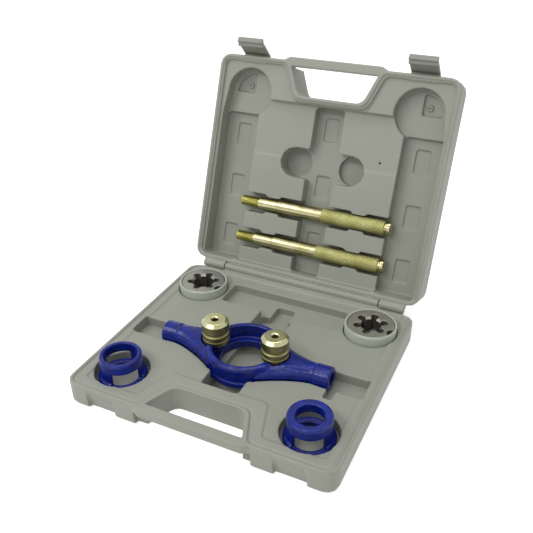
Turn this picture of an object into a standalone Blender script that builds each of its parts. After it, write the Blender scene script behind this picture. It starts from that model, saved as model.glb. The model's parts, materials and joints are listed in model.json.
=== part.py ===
"""Pipe threading set in its moulded case: die stock, two dies, two pipe guides and two screw-in handles.

Metres, +Z up. X runs along the front of the case, Y from the front to the hinge, and the origin is the
middle of the underside. Each piece of the lid is drawn with the lid shut and then turned open.
"""
import bpy
import bmesh
from math import acos, cos, pi, radians, sin, tan
from mathutils import Matrix, Vector

GAP = 0.0003

# Case
CASE_WIDTH = 0.230
CASE_DEPTH = 0.200
BASE_HEIGHT = 0.022
LID_HEIGHT = 0.033
CORNER_RADIUS = 0.010
EDGE_RADIUS = 0.004
RIM_WIDTH = 0.0030
RIM_CORNER_LEAST = 0.002
GROOVE_WIDTH = 0.0018
GROOVE_DEPTH = 0.0016
BORDER_DROP = 0.0007
LID_ANGLE = 111.6

# Carrying handle, half of it on each half of the case
HANDLE_HALF = 0.0415
HANDLE_BACK_HALF = 0.031
HANDLE_BAR = 0.0053
HANDLE_REACH = 0.031
HANDLE_CORNER = 0.009
HANDLE_FOOT_RADIUS = 0.006
BAR_HEIGHT = 0.0085
BAR_BULGE = 0.003
BAR_END = 0.0085
BAR_CORNER = 0.004

# Hinge
HINGE_OFFSET = 0.0046
HINGE_RISE = 0.0022
KNUCKLE_RADIUS = 0.0042
KNUCKLE_CLEARANCE = 0.0005
LID_KNUCKLE = 0.0235
HINGE_MARGIN = 0.0115
PIN_RADIUS = 0.0018
PIN_CLEARANCE = 0.0004

# Latches
LATCH_MARGIN = 0.034
LATCH_WIDTH = 0.025
LATCH_LENGTH = 0.0245
LATCH_THICKNESS = 0.003
LATCH_STAND = 0.0008
LATCH_SWING = 23.0
LATCH_PIVOT_DEPTH = 0.002
LATCH_PIVOT_RISE = 0.008
BARREL_RADIUS = 0.003
LATCH_PIN_RADIUS = 0.0012
LATCH_PIN_GRIP = 0.0025
LATCH_LIP = 0.002
BAY_SIDE_GAP = 0.0005
BAY_DEPTH = 0.005
BAY_RIM = 0.0015
LID_BAY_RIM = 0.0035
CATCH_DROP = 0.008
CATCH_WIDTH = 0.018
CATCH_SET = 0.0001
CATCH_HALF = 0.0006
HOOK_DROP = 0.0024
HOOK_REACH = 0.0018
HOOK_SLOPE = 0.0008
HOOK_HEIGHT = 0.003

# Tray of the base
TRAY_DROP = 0.0017
TRAY_MARGIN = 0.0115
TRAY_BORDER = 0.012
TRAY_STEP = 0.015
TRAY_CORNER = 0.004
WELL_HALF = 0.0163
WELL_FRONT = 0.045
WELL_DEPTH = 0.018
WELL_OVERLAP = 0.003
SLOT_HALF = 0.0088
SLOT_MARGIN = 0.007
SHELF_HALF = 0.058
SHELF_WIDTH = 0.029
SHELF_MARGIN = 0.0155
SHELF_DEPTH = 0.0105
TROUGH_MARGIN = 0.009
FINGER_NOTCH = (0.005, 0.0215)
POCKET_CORNER = 0.003

# Lid lining, depths from the rim
BORDER_DEPTH = 0.0045
LINING_DEPTH = 0.0095
LINING_GAP = 0.0062
LINING_MARGIN = 0.004
LINING_STEP = 0.0005
LINING_STEP_BACK = 0.003
CHANNEL_DEPTH = 0.022
CHANNEL_HALF = 0.0142
CHANNEL_SETBACK = 0.001
SIDE_WIDTH = 0.0361
SIDE_MARGIN = 0.0071
SIDE_FRONT = 0.053
KNOB_POCKET_DEPTH = 0.028
KNOB_CLEARANCE = 0.0022
KNOB_SLOT_EXTRA = 0.0006
SECTOR_RADIUS = 0.0185
SECTOR_DEPTH = 0.0035
SECTOR_BOSS = (0.0058, 0.0070)
SECTOR_BOSS_RADIUS = 0.0029
SECTOR_BOSS_HOLE = 0.0013
SECTOR_BOSS_HEIGHT = 0.002
VENT_PLACE = (0.0546, 0.0117)
VENT_RADIUS = 0.00125
VENT_DEPTH = 0.006
DIMPLE_DEPTH = 0.0018
DIMPLE_WIDTH = 0.0137
DIMPLE_LENGTH = 0.0217
DIMPLE_CORNER = 0.002
SIDE_DIMPLES = (0.143, 0.498, 0.851)
MIDDLE_DIMPLES = (0.1275, 0.470, 0.817)
CLIP_REACH = 0.0024
CLIP_START = 0.035
CLIP_END = 0.052

# Die stock
STOCK_PLACE = 0.0917
STOCK_LENGTH = 0.154
STOCK_DROP = 0.001
STOCK_RING_RADIUS = 0.033
STOCK_RING_HEIGHT = 0.0195
RING_ROUND = 0.0035
RING_EDGE = 0.001
RING_FOOT = 0.006
RING_FLANGE = 0.0014
STOCK_BORE = 0.0545
STOCK_BORE_DEPTH = 0.0125
STOCK_HOLE = 0.043
ARM_END_DIAMETER = 0.020
ARM_NECK_DIAMETER = 0.0186
ARM_COLLAR_LENGTH = 0.0145
ARM_ROOT_HALF = 0.0255
ARM_ROOT = 0.022
ARM_START = 0.8
ARM_FLARE = 1.45
ARM_CHAMFER = 0.001
SOCKET_DEPTH = 0.024
ARM_CLEARANCE = 0.0012

# Clamps that hold a die in the stock
CLAMP_PLACE = 0.0275
CLAMP_SEAT = 0.0045
CLAMP_DIAMETER = 0.0228
CLAMP_EDGE = 0.0007
COLLAR_HEIGHT = 0.0115
COLLAR_GROOVE = 0.0012
NUT_HEIGHT = 0.0105
NUT_CHAMFER = 0.0026
NUT_HOLE = 0.0026
NUT_HOLE_DEPTH = 0.0042
STUD_DIAMETER = 0.006
STUD_GRIP = 0.005
STUD_SHORT = 0.0046
STUD_EDGE = 0.0008
BOSS_RADIUS = 0.0048
STUD_CLEARANCE = 0.0005

# Handles of the stock
ROD_PLACES = {"handle_upper": 0.0276, "handle_lower": 0.0632}
ROD_SHIFT = -0.001
ROD_DEPTH = 0.014
ROD_CHANNEL = 0.0196
THREAD_DIAMETER = 0.010
THREAD_LENGTH = 0.020
SHANK_DIAMETER = 0.012
SHANK_LENGTH = 0.020
BODY_DIAMETER = 0.0135
BODY_LENGTH = 0.046
GRIP_DIAMETER = 0.0145
GRIP_LENGTH = 0.062
ROD_END_LENGTH = 0.0062
ROD_EDGE = 0.0006
ROD_NECK = 0.0018
THREAD_LEAD = 0.0012

# Dies in their cups
DIE_PLACE = (0.0311, 0.033)
DIE_DIAMETER = 0.0413
DIE_THICKNESS = 0.0140
DIE_EDGE = 0.0006
DIE_LEAD = 0.0018
CUP_WALL = 0.0018
CUP_HEIGHT = 0.0157
CUP_FLOOR = 0.0012
CUP_LIP = 0.0030
CUP_TOP = 0.006
CUP_EDGE = 0.0005
DIE_OPENINGS = {"left": 0.0190, "right": 0.0172}
FLUTE_COUNT = 6
FLUTE_CIRCLE = 0.0118
FLUTE_RADIUS = 0.0034
FLUTE_NECK = 0.0042
NOTCH_RADIUS = 0.0042
NOTCH_DEPTH = 0.005
NOTCH_ANGLE = -15.0

# Pipe guides
GUIDE_PLACE = (0.0326, 0.0330)
GUIDE_TOP = 0.0144
GUIDE_HEIGHT = 0.0248
GUIDE_DIAMETER = 0.0345
GUIDE_CAP = 0.0078
GUIDE_FLANGE_DIAMETER = 0.0402
GUIDE_FLANGE = 0.0055
GUIDE_WALL = 0.0030
GUIDE_BORES = {"left": 0.0270, "right": 0.0215}
GUIDE_WINDOW = 88.0
GUIDE_TURNS = {"left": -40.0, "right": -70.0}
GUIDE_EDGE = 0.0016
WINDOW_LEDGE = 0.0015
POCKET_CLEARANCE = 0.0025

FRONT = -CASE_DEPTH / 2
RIM = BASE_HEIGHT
BACK = CASE_DEPTH / 2
HALF = CASE_WIDTH / 2
SIDES = {"left": -1, "right": 1}
HINGE = Vector((0, BACK + HINGE_OFFSET, RIM + HINGE_RISE))
HINGE_HALF = HALF - HINGE_MARGIN
LATCH_PLACE = HALF - LATCH_MARGIN
SIDE_OUTER = HALF - SIDE_MARGIN
LINING_HALF = SIDE_OUTER - SIDE_WIDTH
LINING_FRONT = HANDLE_REACH + LINING_GAP
GUIDE_X = HALF - GUIDE_PLACE[0]
DIE_X = HALF - DIE_PLACE[0]
DIE_Y = BACK - DIE_PLACE[1]
SHELF_BACK = BACK - SHELF_MARGIN
SHELF_FRONT = SHELF_BACK - SHELF_WIDTH

ROUND_STEPS = 28
CLAMP_STEPS = 20
ROD_STEPS = 16
DIE_STEPS = 24
SMALL_STEPS = 12
ARM_STEPS = 18
CORNER_STEPS = 3


def linear(hex_colour):
    """Linear colour of an sRGB hex value."""
    channels = [int(hex_colour[i:i + 2], 16) / 255 for i in (0, 2, 4)]
    return [c / 12.92 if c < 0.04045 else ((c + 0.055) / 1.055) ** 2.4 for c in channels] + [1]


def material(name, colour, roughness, metallic=0.0):
    made = bpy.data.materials.new(name)
    made.use_nodes = True
    shader = made.node_tree.nodes["Principled BSDF"]
    shader.inputs["Base Color"].default_value = linear(colour)
    shader.inputs["Roughness"].default_value = roughness
    shader.inputs["Metallic"].default_value = metallic
    return made


def from_front(distance):
    """Y of a point this far behind the front edge of the case."""
    return FRONT + distance


def rounded(corners, steps=CORNER_STEPS):
    """Outline through corners (x, y, radius), each corner an arc of that radius."""
    outline = []
    for i, (x, y, radius) in enumerate(corners):
        corner = Vector((x, y))
        if radius <= 0:
            outline.append((x, y))
            continue
        before = (Vector(corners[i - 1][:2]) - corner).normalized()
        after = (Vector(corners[(i + 1) % len(corners)][:2]) - corner).normalized()
        half = before.angle(after) / 2
        middle = corner + (before + after).normalized() * radius / sin(half)
        first = corner + before * radius / tan(half) - middle
        sweep = first.angle_signed(corner + after * radius / tan(half) - middle)
        for step in range(steps + 1):
            spoke = first.copy()
            spoke.rotate(Matrix.Rotation(-sweep * step / steps, 2))
            outline.append(tuple(middle + spoke))
    return outline


def rectangle(x0, y0, x1, y1, radius=0.0):
    return rounded([(x0, y0, radius), (x1, y0, radius), (x1, y1, radius), (x0, y1, radius)])


def circle(x, y, radius, steps=ROUND_STEPS, shift=0.0):
    """Circle as an outline; shift turns it by that share of a step."""
    angles = [2 * pi * (i + shift) / steps for i in range(steps)]
    return [(x + radius * cos(angle), y + radius * sin(angle)) for angle in angles]


def add_object(name, bm):
    bmesh.ops.recalc_face_normals(bm, faces=bm.faces)
    mesh = bpy.data.meshes.new(name)
    bm.to_mesh(mesh)
    bm.free()
    made = bpy.data.objects.new(name, mesh)
    bpy.context.collection.objects.link(made)
    return made


def prism(name, outline, low, high, along="Z", bevel_low=0.0):
    """Outline extruded from low to high. Along X the outline is (y, z), and low and high are x."""
    bm = bmesh.new()
    face = bm.faces.new([bm.verts.new((u, v, low)) for u, v in outline])
    raised = bmesh.ops.extrude_face_region(bm, geom=[face])["geom"]
    raised = [item for item in raised if isinstance(item, bmesh.types.BMVert)]
    bmesh.ops.translate(bm, verts=raised, vec=(0, 0, high - low))
    if bevel_low:
        rim = [edge for edge in bm.edges if all(vert not in raised for vert in edge.verts)]
        bmesh.ops.bevel(bm, geom=rim, offset=bevel_low, segments=3, profile=0.5, affect="EDGES", material=-1)
    if along == "X":
        turn = Matrix(((0, 0, 1, 0), (1, 0, 0, 0), (0, 1, 0, 0), (0, 0, 0, 1)))
        bmesh.ops.transform(bm, verts=bm.verts, matrix=turn)
    return add_object(name, bm)


def turned(name, profile, steps=ROUND_STEPS, closed=True):
    """Profile (radius, z) turned about Z. An open profile starts and ends on the axis."""
    bm = bmesh.new()
    verts = [bm.verts.new((radius, 0, z)) for radius, z in profile]
    edges = [bm.edges.new(pair) for pair in zip(verts, verts[1:])]
    if closed:
        edges.append(bm.edges.new((verts[-1], verts[0])))
    bmesh.ops.spin(bm, geom=verts + edges, angle=2 * pi, steps=steps, axis=(0, 0, 1), cent=(0, 0, 0),
                   use_merge=True)
    bmesh.ops.remove_doubles(bm, verts=bm.verts, dist=0.000001)
    return add_object(name, bm)


def combine(target, tool, operation="DIFFERENCE"):
    """Cut the tool from the target, or fuse it to the target, and delete the tool."""
    change = target.modifiers.new("shape", "BOOLEAN")
    change.object = tool
    change.operation = operation
    change.solver = "EXACT"
    bpy.context.view_layer.update()
    finished = target.evaluated_get(bpy.context.evaluated_depsgraph_get())
    old = target.data
    target.modifiers.clear()
    target.data = bpy.data.meshes.new_from_object(finished)
    bpy.data.meshes.remove(old)
    bpy.data.objects.remove(tool)


def cut_prism(target, outline, low, high, along="Z"):
    combine(target, prism("cut", outline, low, high, along))


def move(made, offset=(0, 0, 0), turn=None):
    """Shift, and first turn, the mesh of an object that keeps its origin."""
    if turn:
        angle, axis = turn
        made.data.transform(Matrix.Rotation(angle, 4, axis))
    made.data.transform(Matrix.Translation(offset))
    return made


def finish(made, surface, smooth_angle=35):
    made.data.materials.clear()
    made.data.materials.append(surface)
    made.data.shade_smooth()
    made.data.set_sharp_from_angle(angle=radians(smooth_angle))
    return made


def axis_empty(name, place, parent=None):
    made = bpy.data.objects.new(name, None)
    bpy.context.collection.objects.link(made)
    made.location = place
    made.parent = parent
    return made


def hang_on(made, axis, place):
    """Parent a piece, drawn in the shut case, to an empty that stands at this place in the shut case."""
    made.parent = axis
    made.location = -Vector(place)
    return made


# Blank half of the case, rim at z = 0 and the outside face below it

def inset_outline(inset):
    """Outline of the rim moved inward, with the notch that the carrying handle leaves."""
    half = HALF - inset
    radius = max(CORNER_RADIUS - inset, RIM_CORNER_LEAST)
    front = from_front(inset)
    notch_back = from_front(HANDLE_REACH + inset)
    slope = (HANDLE_HALF - HANDLE_BACK_HALF) / (HANDLE_REACH - HANDLE_BAR)
    foot = HANDLE_HALF + HANDLE_BAR * slope + inset
    return rounded([
        (-half, front, radius), (-foot, front, HANDLE_FOOT_RADIUS),
        (-HANDLE_BACK_HALF - inset, notch_back, HANDLE_CORNER),
        (HANDLE_BACK_HALF + inset, notch_back, HANDLE_CORNER),
        (foot, front, HANDLE_FOOT_RADIUS), (half, front, radius),
        (half, -front, radius), (-half, -front, radius)])


def case_half(name, height):
    outside = rectangle(-HALF, FRONT, HALF, BACK, CORNER_RADIUS)
    made = prism(name, outside, -height, 0, bevel_low=EDGE_RADIUS)
    bar_half = HANDLE_HALF + BAR_END
    bar_front = FRONT - BAR_BULGE
    bar_back = from_front(HANDLE_BAR)
    opening = rounded([
        (-HANDLE_HALF, bar_back, 0), (HANDLE_HALF, bar_back, 0),
        (HANDLE_BACK_HALF, from_front(HANDLE_REACH), HANDLE_CORNER),
        (-HANDLE_BACK_HALF, from_front(HANDLE_REACH), HANDLE_CORNER)])
    cut_prism(made, opening, -2 * height, height)
    under_bar = rectangle(-bar_half, bar_front, bar_half, bar_back + GAP)
    cut_prism(made, under_bar, -2 * height, GAP - BAR_HEIGHT)
    bar = prism("bar", rounded([
        (-bar_half, FRONT + GAP, 0), (-bar_half + 2 * BAR_BULGE, bar_front, BAR_CORNER),
        (bar_half - 2 * BAR_BULGE, bar_front, BAR_CORNER), (bar_half, FRONT + GAP, 0),
        (bar_half, bar_back, 0), (-bar_half, bar_back, 0)]), -BAR_HEIGHT, 0, bevel_low=BAR_BULGE / 2)
    combine(made, bar, "UNION")
    groove = prism("groove", inset_outline(RIM_WIDTH), -GROOVE_DEPTH, GROOVE_DEPTH)
    cut_prism(groove, inset_outline(RIM_WIDTH + GROOVE_WIDTH), -2 * GROOVE_DEPTH, 2 * GROOVE_DEPTH)
    combine(made, groove)
    return made


def knuckle(start, end, body_side):
    """One barrel of the hinge and its web, drawn in the shut case; body_side is -1 for the base."""
    barrel = circle(HINGE.y, HINGE.z, KNUCKLE_RADIUS, ROUND_STEPS // 2)
    made = prism("barrel", barrel, start, end, along="X")
    wall = BACK - EDGE_RADIUS
    edge = RIM + body_side * 2 * GAP
    far = HINGE.z + body_side * (KNUCKLE_RADIUS + 2 * HINGE_RISE)
    tangent = HINGE.z + body_side * KNUCKLE_RADIUS * cos(pi / ROUND_STEPS)
    web = [(wall, edge), (HINGE.y, edge), (HINGE.y, tangent), (wall, far)]
    combine(made, prism("web", web, start, end, along="X"), "UNION")
    return made


def lid_knuckle_spans():
    """Ends in x of the lid's two barrels, which stand outside the base's long one."""
    inner = HINGE_HALF - LID_KNUCKLE
    return [(-HINGE_HALF, -inner), (inner, HINGE_HALF)]


def hinge_cradle(start, end):
    """Ledge on the back of the base below a barrel of the lid."""
    low = RIM - HINGE_RISE - 2 * KNUCKLE_RADIUS
    made = prism("cradle", [(BACK - EDGE_RADIUS, low), (BACK, low), (HINGE.y, RIM - KNUCKLE_RADIUS),
                            (HINGE.y, RIM), (BACK - EDGE_RADIUS, RIM)], start, end, along="X")
    room = circle(HINGE.y, HINGE.z, KNUCKLE_RADIUS + KNUCKLE_CLEARANCE, ROUND_STEPS // 2)
    cut_prism(made, room, start - GAP, end + GAP, along="X")
    return made


def pin_hole(target):
    bore = circle(HINGE.y, HINGE.z, PIN_RADIUS + PIN_CLEARANCE, SMALL_STEPS)
    cut_prism(target, bore, -CASE_WIDTH, CASE_WIDTH, along="X")


def latch_bay(target, side, low, high, depth):
    near = side * LATCH_PLACE - LATCH_WIDTH / 2 - BAY_SIDE_GAP
    far = side * LATCH_PLACE + LATCH_WIDTH / 2 + BAY_SIDE_GAP
    cut_prism(target, rectangle(near, FRONT - 2 * BAY_DEPTH, far, from_front(depth)), low, high)


def trough_outline(clearance):
    """Trough that the stock's arms and ring lie in."""
    arm = ARM_END_DIAMETER / 2 + clearance
    root = ARM_ROOT_HALF + clearance
    end = STOCK_LENGTH / 2
    outer = HALF - TROUGH_MARGIN
    front_side = [(-outer, -arm), (-end, -arm)]
    front_side += [(x, -arm_half(abs(x)) - clearance) for x in arm_stations(-1)]
    front_side += [(-ARM_ROOT, -root - clearance), (ARM_ROOT, -root - clearance)]
    front_side += [(x, -arm_half(abs(x)) - clearance) for x in arm_stations(1)] + [(end, -arm), (outer, -arm)]
    back_side = [(x, -y) for x, y in reversed(front_side)]
    return [(x, from_front(STOCK_PLACE) + y) for x, y in front_side + back_side]


def arm_neck():
    """Distance from the middle of the stock to the inner edge of the end collar."""
    return STOCK_LENGTH / 2 - ARM_COLLAR_LENGTH


def arm_half(x):
    """Half width of an arm in plan: a concave flare from the neck to the ring."""
    share = (arm_neck() - x) / (arm_neck() - ARM_ROOT)
    return ARM_NECK_DIAMETER / 2 + (ARM_ROOT_HALF - ARM_NECK_DIAMETER / 2) * max(share, 0) ** ARM_FLARE


def arm_stations(side, count=6):
    """Places along one arm where its section is drawn, in order of rising x."""
    step = (arm_neck() - ARM_ROOT) / count
    places = [ARM_ROOT + i * step for i in range(count + 1)]
    return places if side > 0 else [-x for x in reversed(places)]


def make_base(surface):
    made = move(case_half("case_base", BASE_HEIGHT), (0, 0, RIM))
    cut_prism(made, inset_outline(RIM_WIDTH + GROOVE_WIDTH), RIM - BORDER_DROP, 2 * RIM)
    side = HALF - TRAY_MARGIN
    tray_front = from_front(TRAY_BORDER)
    step = from_front(HANDLE_REACH + TRAY_STEP)
    neck_half = HANDLE_HALF + TRAY_BORDER
    step_half = HANDLE_BACK_HALF + TRAY_BORDER
    back = BACK - LINING_MARGIN
    tray = rounded([(x, y, TRAY_CORNER) for x, y in (
        (-side, tray_front), (-neck_half, tray_front), (-step_half, step), (step_half, step),
        (neck_half, tray_front), (side, tray_front), (side, back), (-side, back))])
    cut_prism(made, tray, RIM - TRAY_DROP, 2 * RIM)
    well_back = SHELF_FRONT + WELL_OVERLAP
    well = rectangle(-WELL_HALF, from_front(WELL_FRONT), WELL_HALF, well_back, POCKET_CORNER)
    cut_prism(made, well, RIM - WELL_DEPTH, 2 * RIM)
    shelf = rectangle(-SHELF_HALF, SHELF_FRONT, SHELF_HALF, SHELF_BACK, POCKET_CORNER)
    cut_prism(made, shelf, RIM - SHELF_DEPTH, 2 * RIM)
    slot_back = SHELF_BACK - SLOT_MARGIN
    slot = rectangle(-SLOT_HALF, from_front(STOCK_PLACE), SLOT_HALF, slot_back, POCKET_CORNER)
    cut_prism(made, slot, RIM - WELL_DEPTH, 2 * RIM)
    trough_floor = RIM - STOCK_DROP - ARM_END_DIAMETER / 2 - GAP
    cut_prism(made, trough_outline(ARM_CLEARANCE), trough_floor, 2 * RIM)
    notch_end = STOCK_LENGTH / 2 + FINGER_NOTCH[0]
    notch = rectangle(notch_end - FINGER_NOTCH[0], from_front(STOCK_PLACE) - FINGER_NOTCH[1],
                      notch_end + FINGER_NOTCH[0] / 2, from_front(STOCK_PLACE), DIMPLE_CORNER)
    cut_prism(made, notch, trough_floor, 2 * RIM)
    ring_pocket = circle(0, from_front(STOCK_PLACE), STOCK_RING_RADIUS + ARM_CLEARANCE)
    cut_prism(made, ring_pocket, trough_floor, 2 * RIM)
    for sign in SIDES.values():
        guide = circle(sign * GUIDE_X, from_front(GUIDE_PLACE[1]), guide_pocket_radius())
        cut_prism(made, guide, RIM + GUIDE_TOP - GUIDE_HEIGHT - GAP, 2 * RIM)
        cup = circle(sign * DIE_X, DIE_Y, cup_radius() + POCKET_CLEARANCE / 3)
        cut_prism(made, cup, RIM + CUP_TOP - CUP_HEIGHT - GAP, 2 * RIM)
        reach = LATCH_WIDTH / 2 + BAY_SIDE_GAP
        bay = [(FRONT - BAY_DEPTH, RIM - BAY_RIM), (FRONT, RIM - BAY_RIM), (from_front(BAY_DEPTH), 0),
               (from_front(BAY_DEPTH), -RIM), (FRONT - BAY_DEPTH, -RIM)]
        cut_prism(made, bay, sign * LATCH_PLACE - reach, sign * LATCH_PLACE + reach, along="X")
        catch = RIM - CATCH_DROP
        ridge = [(from_front(BAY_DEPTH), catch + 3 * CATCH_HALF), (FRONT + CATCH_SET, catch + CATCH_HALF),
                 (FRONT + CATCH_SET, catch - CATCH_HALF), (from_front(BAY_DEPTH), catch - 3 * CATCH_HALF)]
        reach = CATCH_WIDTH / 2
        ridge = prism("ridge", ridge, sign * LATCH_PLACE - reach, sign * LATCH_PLACE + reach, along="X")
        combine(made, ridge, "UNION")
    for start, end in lid_knuckle_spans():
        combine(made, hinge_cradle(start, end), "UNION")
    inner = HINGE_HALF - LID_KNUCKLE - 2 * GAP
    combine(made, knuckle(-inner, inner, -1), "UNION")
    pin_hole(made)
    return finish(made, surface)


def make_lid(surface):
    made = case_half("case_lid", LID_HEIGHT)
    made.data.transform(Matrix.Diagonal((1, 1, -1, 1)))
    made.data.flip_normals()
    rim = RIM + GAP
    move(made, (0, 0, rim))
    below = rim - LID_HEIGHT

    def sink(outline, depth):
        cut_prism(made, outline, below, rim + depth)

    sink(inset_outline(RIM_WIDTH + GROOVE_WIDTH), BORDER_DEPTH)
    front = from_front(LINING_FRONT)
    back = BACK - LINING_MARGIN
    pocket_depth = GUIDE_TOP + POCKET_CLEARANCE
    sink(rectangle(-LINING_HALF, front, LINING_HALF, back, POCKET_CORNER), LINING_DEPTH)
    step_back = from_front(STOCK_PLACE - LINING_STEP_BACK)
    sink(rectangle(-LINING_HALF, front, LINING_HALF, step_back, POCKET_CORNER), LINING_DEPTH + LINING_STEP)
    sink(middle_channel(front + CHANNEL_SETBACK, back), CHANNEL_DEPTH)
    vent = circle(VENT_PLACE[0], from_front(STOCK_PLACE - VENT_PLACE[1]), VENT_RADIUS, SMALL_STEPS // 2)
    sink(vent, LINING_DEPTH + VENT_DEPTH)
    channel_front = from_front(SIDE_FRONT)
    for sign in SIDES.values():
        inner = sign * LINING_HALF
        outer = sign * SIDE_OUTER
        sink(guide_pocket(sign, channel_front + POCKET_CORNER), pocket_depth)
        channel = rectangle(min(inner, outer), channel_front, max(inner, outer), back, POCKET_CORNER)
        sink(channel, CHANNEL_DEPTH)
        sink(sector(sign), pocket_depth + SECTOR_DEPTH)
        boss_place = (sign * (GUIDE_X + SECTOR_BOSS[0]), from_front(GUIDE_PLACE[1] - SECTOR_BOSS[1]))
        boss_end = rim + pocket_depth + SECTOR_DEPTH - SECTOR_BOSS_HEIGHT
        boss = circle(*boss_place, SECTOR_BOSS_RADIUS, SMALL_STEPS)
        combine(made, prism("boss", boss, boss_end, boss_end + 2 * SECTOR_BOSS_HEIGHT), "UNION")
        sink(circle(*boss_place, SECTOR_BOSS_HOLE, SMALL_STEPS // 2), pocket_depth + SECTOR_DEPTH)
        knob = circle(sign * CLAMP_PLACE, from_front(STOCK_PLACE), CLAMP_DIAMETER / 2 + KNOB_CLEARANCE)
        sink(knob, KNOB_POCKET_DEPTH)
        for share in SIDE_DIMPLES:
            place = channel_front + share * (back - channel_front)
            sink(dimple((inner + outer) / 2, place), CHANNEL_DEPTH + DIMPLE_DEPTH)
    for share in MIDDLE_DIMPLES:
        sink(dimple(0, front + share * (back - front)), CHANNEL_DEPTH + DIMPLE_DEPTH)
    for place in ROD_PLACES.values():
        sink(rod_channel(BACK - place), ROD_DEPTH + GRIP_DIAMETER / 2 + GAP)
    for sign in SIDES.values():
        bay_depth = LATCH_PIVOT_DEPTH + BARREL_RADIUS + 2 * GAP
        latch_bay(made, sign, rim + LID_BAY_RIM, rim + 2 * LATCH_PIVOT_RISE + GAP, bay_depth)
        pivot = (from_front(LATCH_PIVOT_DEPTH), rim + LATCH_PIVOT_RISE)
        hole = circle(*pivot, LATCH_PIN_RADIUS + GAP, SMALL_STEPS)
        reach = LATCH_WIDTH / 2 + BAY_SIDE_GAP + LATCH_PIN_GRIP + GAP
        cut_prism(made, hole, sign * LATCH_PLACE - reach, sign * LATCH_PLACE + reach, along="X")
    for start, end in lid_knuckle_spans():
        combine(made, knuckle(start, end, 1), "UNION")
    pin_hole(made)
    return finish(made, surface)


def middle_channel(front, back):
    """Channel down the middle of the lining with an arm on each side for a clamp."""
    y = from_front(STOCK_PLACE)
    arm = CLAMP_DIAMETER / 2 + KNOB_CLEARANCE + KNOB_SLOT_EXTRA
    tip = CLAMP_PLACE + arm
    right = [
        (CHANNEL_HALF, front, POCKET_CORNER), (CHANNEL_HALF, y - arm, DIMPLE_CORNER),
        (tip, y - arm, arm - GAP), (tip, y + arm, arm - GAP),
        (CHANNEL_HALF, y + arm, DIMPLE_CORNER), (CHANNEL_HALF, back, POCKET_CORNER)]
    left = [(-x, y, radius) for x, y, radius in reversed(right)]
    return rounded(right + left)


def guide_pocket_radius():
    return GUIDE_FLANGE_DIAMETER / 2 + POCKET_CLEARANCE


def guide_pocket(side, back):
    """Pocket for a guide's top: round at the front and inside, straight where it meets the side channel."""
    radius = guide_pocket_radius()
    start = pi - acos((GUIDE_X - LINING_HALF) / radius)
    count = ROUND_STEPS * 3 // 4
    outline = []
    for i in range(count + 1):
        angle = start + (2 * pi - start) * i / count
        outline.append((GUIDE_X + radius * cos(angle), from_front(GUIDE_PLACE[1]) + radius * sin(angle)))
    outer = SIDE_OUTER - GAP
    outline += [(outer, from_front(SIDE_FRONT)), (outer, back), (LINING_HALF + GAP, back)]
    return outline if side > 0 else [(-x, y) for x, y in reversed(outline)]


def sector(side):
    """Quarter of a disc sunk into the floor of a guide's pocket, at its outer front."""
    centre = (GUIDE_X, from_front(GUIDE_PLACE[1]))
    count = ROUND_STEPS // 4
    outline = [centre]
    for i in range(count + 1):
        angle = pi / 2 * (i / count - 1)
        outline.append((centre[0] + SECTOR_RADIUS * cos(angle), centre[1] + SECTOR_RADIUS * sin(angle)))
    return outline if side > 0 else [(-x, y) for x, y in reversed(outline)]


def dimple(x, y):
    half, reach = DIMPLE_WIDTH / 2, DIMPLE_LENGTH / 2
    return rectangle(x - half, y - reach, x + half, y + reach, DIMPLE_CORNER)


def rod_channel(y):
    """Channel for a handle, with two pairs of clips that narrow it."""
    half = ROD_CHANNEL / 2
    end = LINING_HALF + GAP
    side = [(-end, half)]
    for start, stop in ((-CLIP_END, -CLIP_START), (CLIP_START, CLIP_END)):
        narrow = half - CLIP_REACH
        side += [(start, half), (start + CLIP_REACH, narrow), (stop - CLIP_REACH, narrow), (stop, half)]
    side.append((end, half))
    near = [(x, -offset) for x, offset in side]
    return [(x, y + offset) for x, offset in near + side[::-1]]


def make_latch(side, surface):
    """Latch drawn shut: barrel on the lid, plate down the front and a hook that goes under the catch."""
    inner = FRONT - LATCH_STAND
    outer = inner - LATCH_THICKNESS
    pivot_y = from_front(LATCH_PIVOT_DEPTH)
    pivot_z = RIM + GAP + LATCH_PIVOT_RISE
    tip = pivot_z - LATCH_LENGTH
    hook_top = RIM - CATCH_DROP - HOOK_DROP
    hook_y = inner + HOOK_REACH
    top = pivot_z + BARREL_RADIUS
    bottom = pivot_z - BARREL_RADIUS
    back = pivot_y + BARREL_RADIUS
    lip = outer - LATCH_LIP
    curve = BARREL_RADIUS - GAP
    profile = rounded([
        (inner, bottom, GAP), (inner, hook_top + HOOK_SLOPE, 0), (hook_y, hook_top, GAP),
        (hook_y, hook_top - HOOK_HEIGHT / 2, GAP), (inner, hook_top - HOOK_HEIGHT, 0), (inner, tip, 2 * GAP),
        (lip, tip, 3 * GAP), (lip, tip + LATCH_LIP, 3 * GAP), (outer, tip + 2 * LATCH_LIP, 4 * GAP),
        (outer, top, curve), (back, top, curve), (back, bottom, curve)])
    start = side * LATCH_PLACE - LATCH_WIDTH / 2
    made = prism("latch", profile, start, start + LATCH_WIDTH, along="X")
    hole = circle(pivot_y, pivot_z, LATCH_PIN_RADIUS + GAP, SMALL_STEPS)
    cut_prism(made, hole, start - GAP, start + LATCH_WIDTH + GAP, along="X")
    return finish(made, surface)


def make_latch_pin(side, surface):
    pivot = (from_front(LATCH_PIVOT_DEPTH), RIM + GAP + LATCH_PIVOT_RISE)
    reach = LATCH_WIDTH / 2 + BAY_SIDE_GAP + LATCH_PIN_GRIP
    made = prism("latch_pin", circle(*pivot, LATCH_PIN_RADIUS, SMALL_STEPS), side * LATCH_PLACE - reach,
                 side * LATCH_PLACE + reach, along="X")
    return finish(made, surface)


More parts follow.
